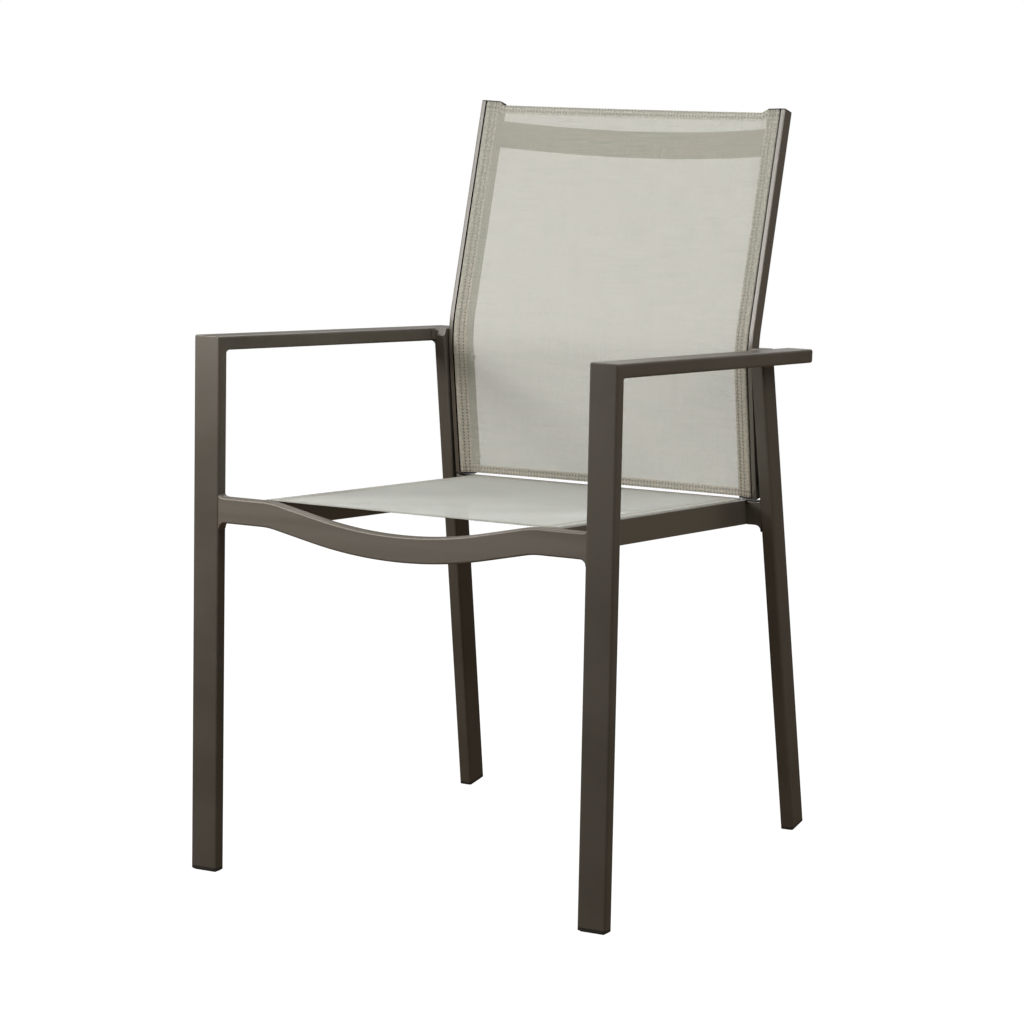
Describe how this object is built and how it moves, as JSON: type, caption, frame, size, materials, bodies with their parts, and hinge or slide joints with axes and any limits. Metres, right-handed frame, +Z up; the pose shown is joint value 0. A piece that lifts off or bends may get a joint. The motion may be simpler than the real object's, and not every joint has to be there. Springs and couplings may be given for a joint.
{
  "type": "sling patio chair",
  "caption": "Stacking patio armchair with a welded flat tube frame and stretched fabric slings for seat and back.",
  "frame": {"origin": "centre of the bounding box's bottom face, on the floor under the middle of the chair", "axes": "+Z up from the floor, the chair faces -Y, +X to the right of someone who stands in front of it"},
  "size_m": [0.548, 0.6102, 0.8978],
  "materials": {
    "frame": "bronze powder coat, satin, fine texture",
    "plastic": "moulded, matte",
    "steel": "stainless, satin",
    "back_cloth": "coated open mesh weave, warm light grey",
    "seat_cloth": "coated open mesh weave, light grey",
    "cord": "extruded, matte"
  },
  "bodies": {
    "root": {"armrest_left": "frame", "armrest_plug_left": "plastic", "armrest_plug_right": "plastic", "armrest_right": "frame", "back_bolt_lower_left": "steel", "back_bolt_lower_right": "steel", "back_bolt_upper_left": "steel", "back_bolt_upper_right": "steel", "back_cord_left": "cord", "back_cord_right": "cord", "back_crossbar": "frame", "back_rail_bottom_cap_left": "plastic", "back_rail_bottom_cap_right": "plastic", "back_rail_left": "frame", "back_rail_right": "frame", "back_rail_top_cap_left": "plastic", "back_rail_top_cap_right": "plastic", "back_sling": "back_cloth", "back_spacer_left": "plastic", "back_spacer_right": "plastic", "front_crossbar": "frame", "front_glide_left": "plastic", "front_glide_right": "plastic", "front_leg_left": "frame", "front_leg_right": "frame", "rear_crossbar": "frame", "rear_glide_left": "plastic", "rear_glide_right": "plastic", "rear_leg_cap_left": "frame", "rear_leg_cap_right": "frame", "rear_leg_left": "frame", "rear_leg_right": "frame", "seat_cord_left": "cord", "seat_cord_right": "cord", "seat_rail_left": "frame", "seat_rail_right": "frame", "seat_sling": "seat_cloth", "threaded_insert_lower_left": "steel", "threaded_insert_lower_right": "steel", "threaded_insert_upper_left": "steel", "threaded_insert_upper_right": "steel"}
  },
  "joints": []
}
